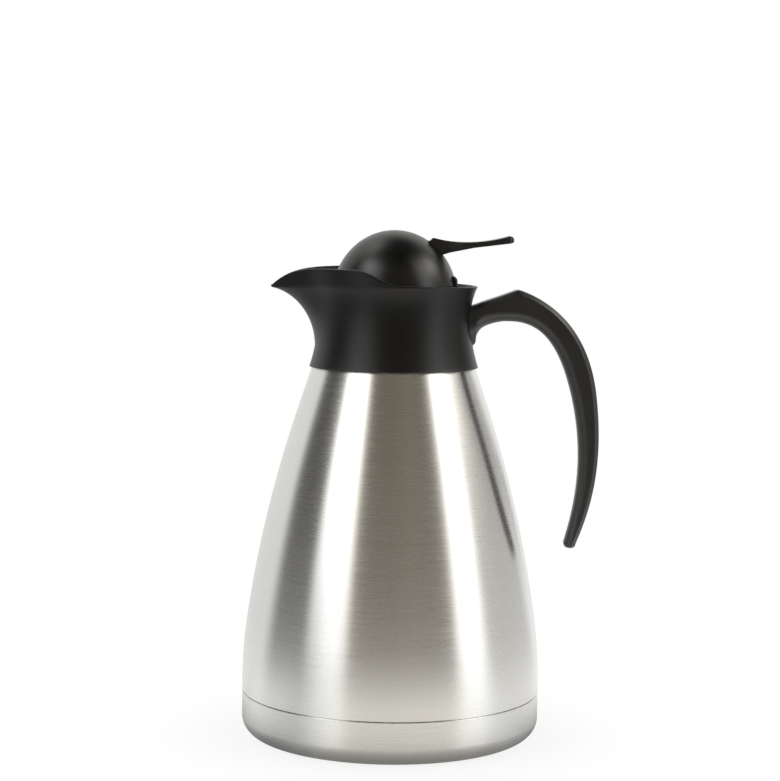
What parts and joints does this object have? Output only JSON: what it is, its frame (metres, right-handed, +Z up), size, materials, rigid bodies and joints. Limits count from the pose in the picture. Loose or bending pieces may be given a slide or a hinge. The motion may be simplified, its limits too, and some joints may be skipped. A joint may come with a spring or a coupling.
{
  "type": "thermal carafe with flip lid",
  "caption": "Double-walled steel carafe, conical body, black spout collar with beak, open handle, and a screw stopper whose domed lid flips up on a thumb lever.",
  "frame": {"origin": "centre of the level middle panel of the base, on the axis of the steel body", "axes": "+Z up along the body's axis, spout towards -X, handle and thumb lever towards +X, hinge pin along Y"},
  "size_m": [0.1725, 0.145, 0.2462],
  "materials": {
    "brushed_steel": "fine circumferential brushing, satin",
    "plain_steel": "drawn sheet, unpolished",
    "solder": "dull solder",
    "getter_alloy": "pressed alloy pill",
    "silicone": "translucent white silicone, matte",
    "collar_plastic": "black, satin, very fine grain",
    "dome_plastic": "black, satin, fine eroded grain",
    "handle_plastic": "black, satin, very fine grain",
    "lever_plastic": "black, semi-gloss",
    "inner_plastic": "black, as moulded",
    "screw_steel": "bright stainless",
    "spring_steel": "drawn stainless wire"
  },
  "bodies": {
    "flask": {"outer_shell": "brushed_steel", "base_cup": "brushed_steel", "shell_bottom": "plain_steel", "vacuum_seal": "solder", "getter": "getter_alloy", "inner_flask": "plain_steel", "inner_bottom": "plain_steel", "neck_gasket": "silicone", "spout_collar": "collar_plastic", "neck_ring": "inner_plastic", "handle": "handle_plastic", "handle_screws": "screw_steel"},
    "seal": {"stopper_seal": "silicone"},
    "stopper": {"stopper_body": "inner_plastic", "stopper_ring": "collar_plastic", "hinge_pin": "screw_steel", "lid_spring": "spring_steel"},
    "lid": {"dome_lid": "dome_plastic", "lid_plate": "inner_plastic", "lid_plug": "inner_plastic", "lid_gasket": "silicone", "thumb_lever": "lever_plastic", "lever_screw": "screw_steel"}
  },
  "joints": [
    {"name": "stopper_lift", "type": "slide", "parent": "flask", "child": "seal", "axis": [0, 0, 1], "range_m": [0, 0.048]},
    {"name": "stopper_turn", "type": "hinge", "parent": "seal", "child": "stopper", "pos_m": [0, 0, 0.2], "axis": [0, 0, 1], "range_deg": [0, 720]},
    {"name": "lid_flip", "type": "hinge", "parent": "stopper", "child": "lid", "pos_m": [0.0282, 0, 0.2222], "axis": [0, 1, 0], "range_deg": [0, 28], "stiffness_Nm_per_rad": 0.06, "springref_deg": -28.65, "deforming": ["lid_spring"]}
  ],
  "couplings": [
    {"joint": "stopper_lift", "follows": "stopper_turn", "m_per_rad": 0.0038197}
  ]
}
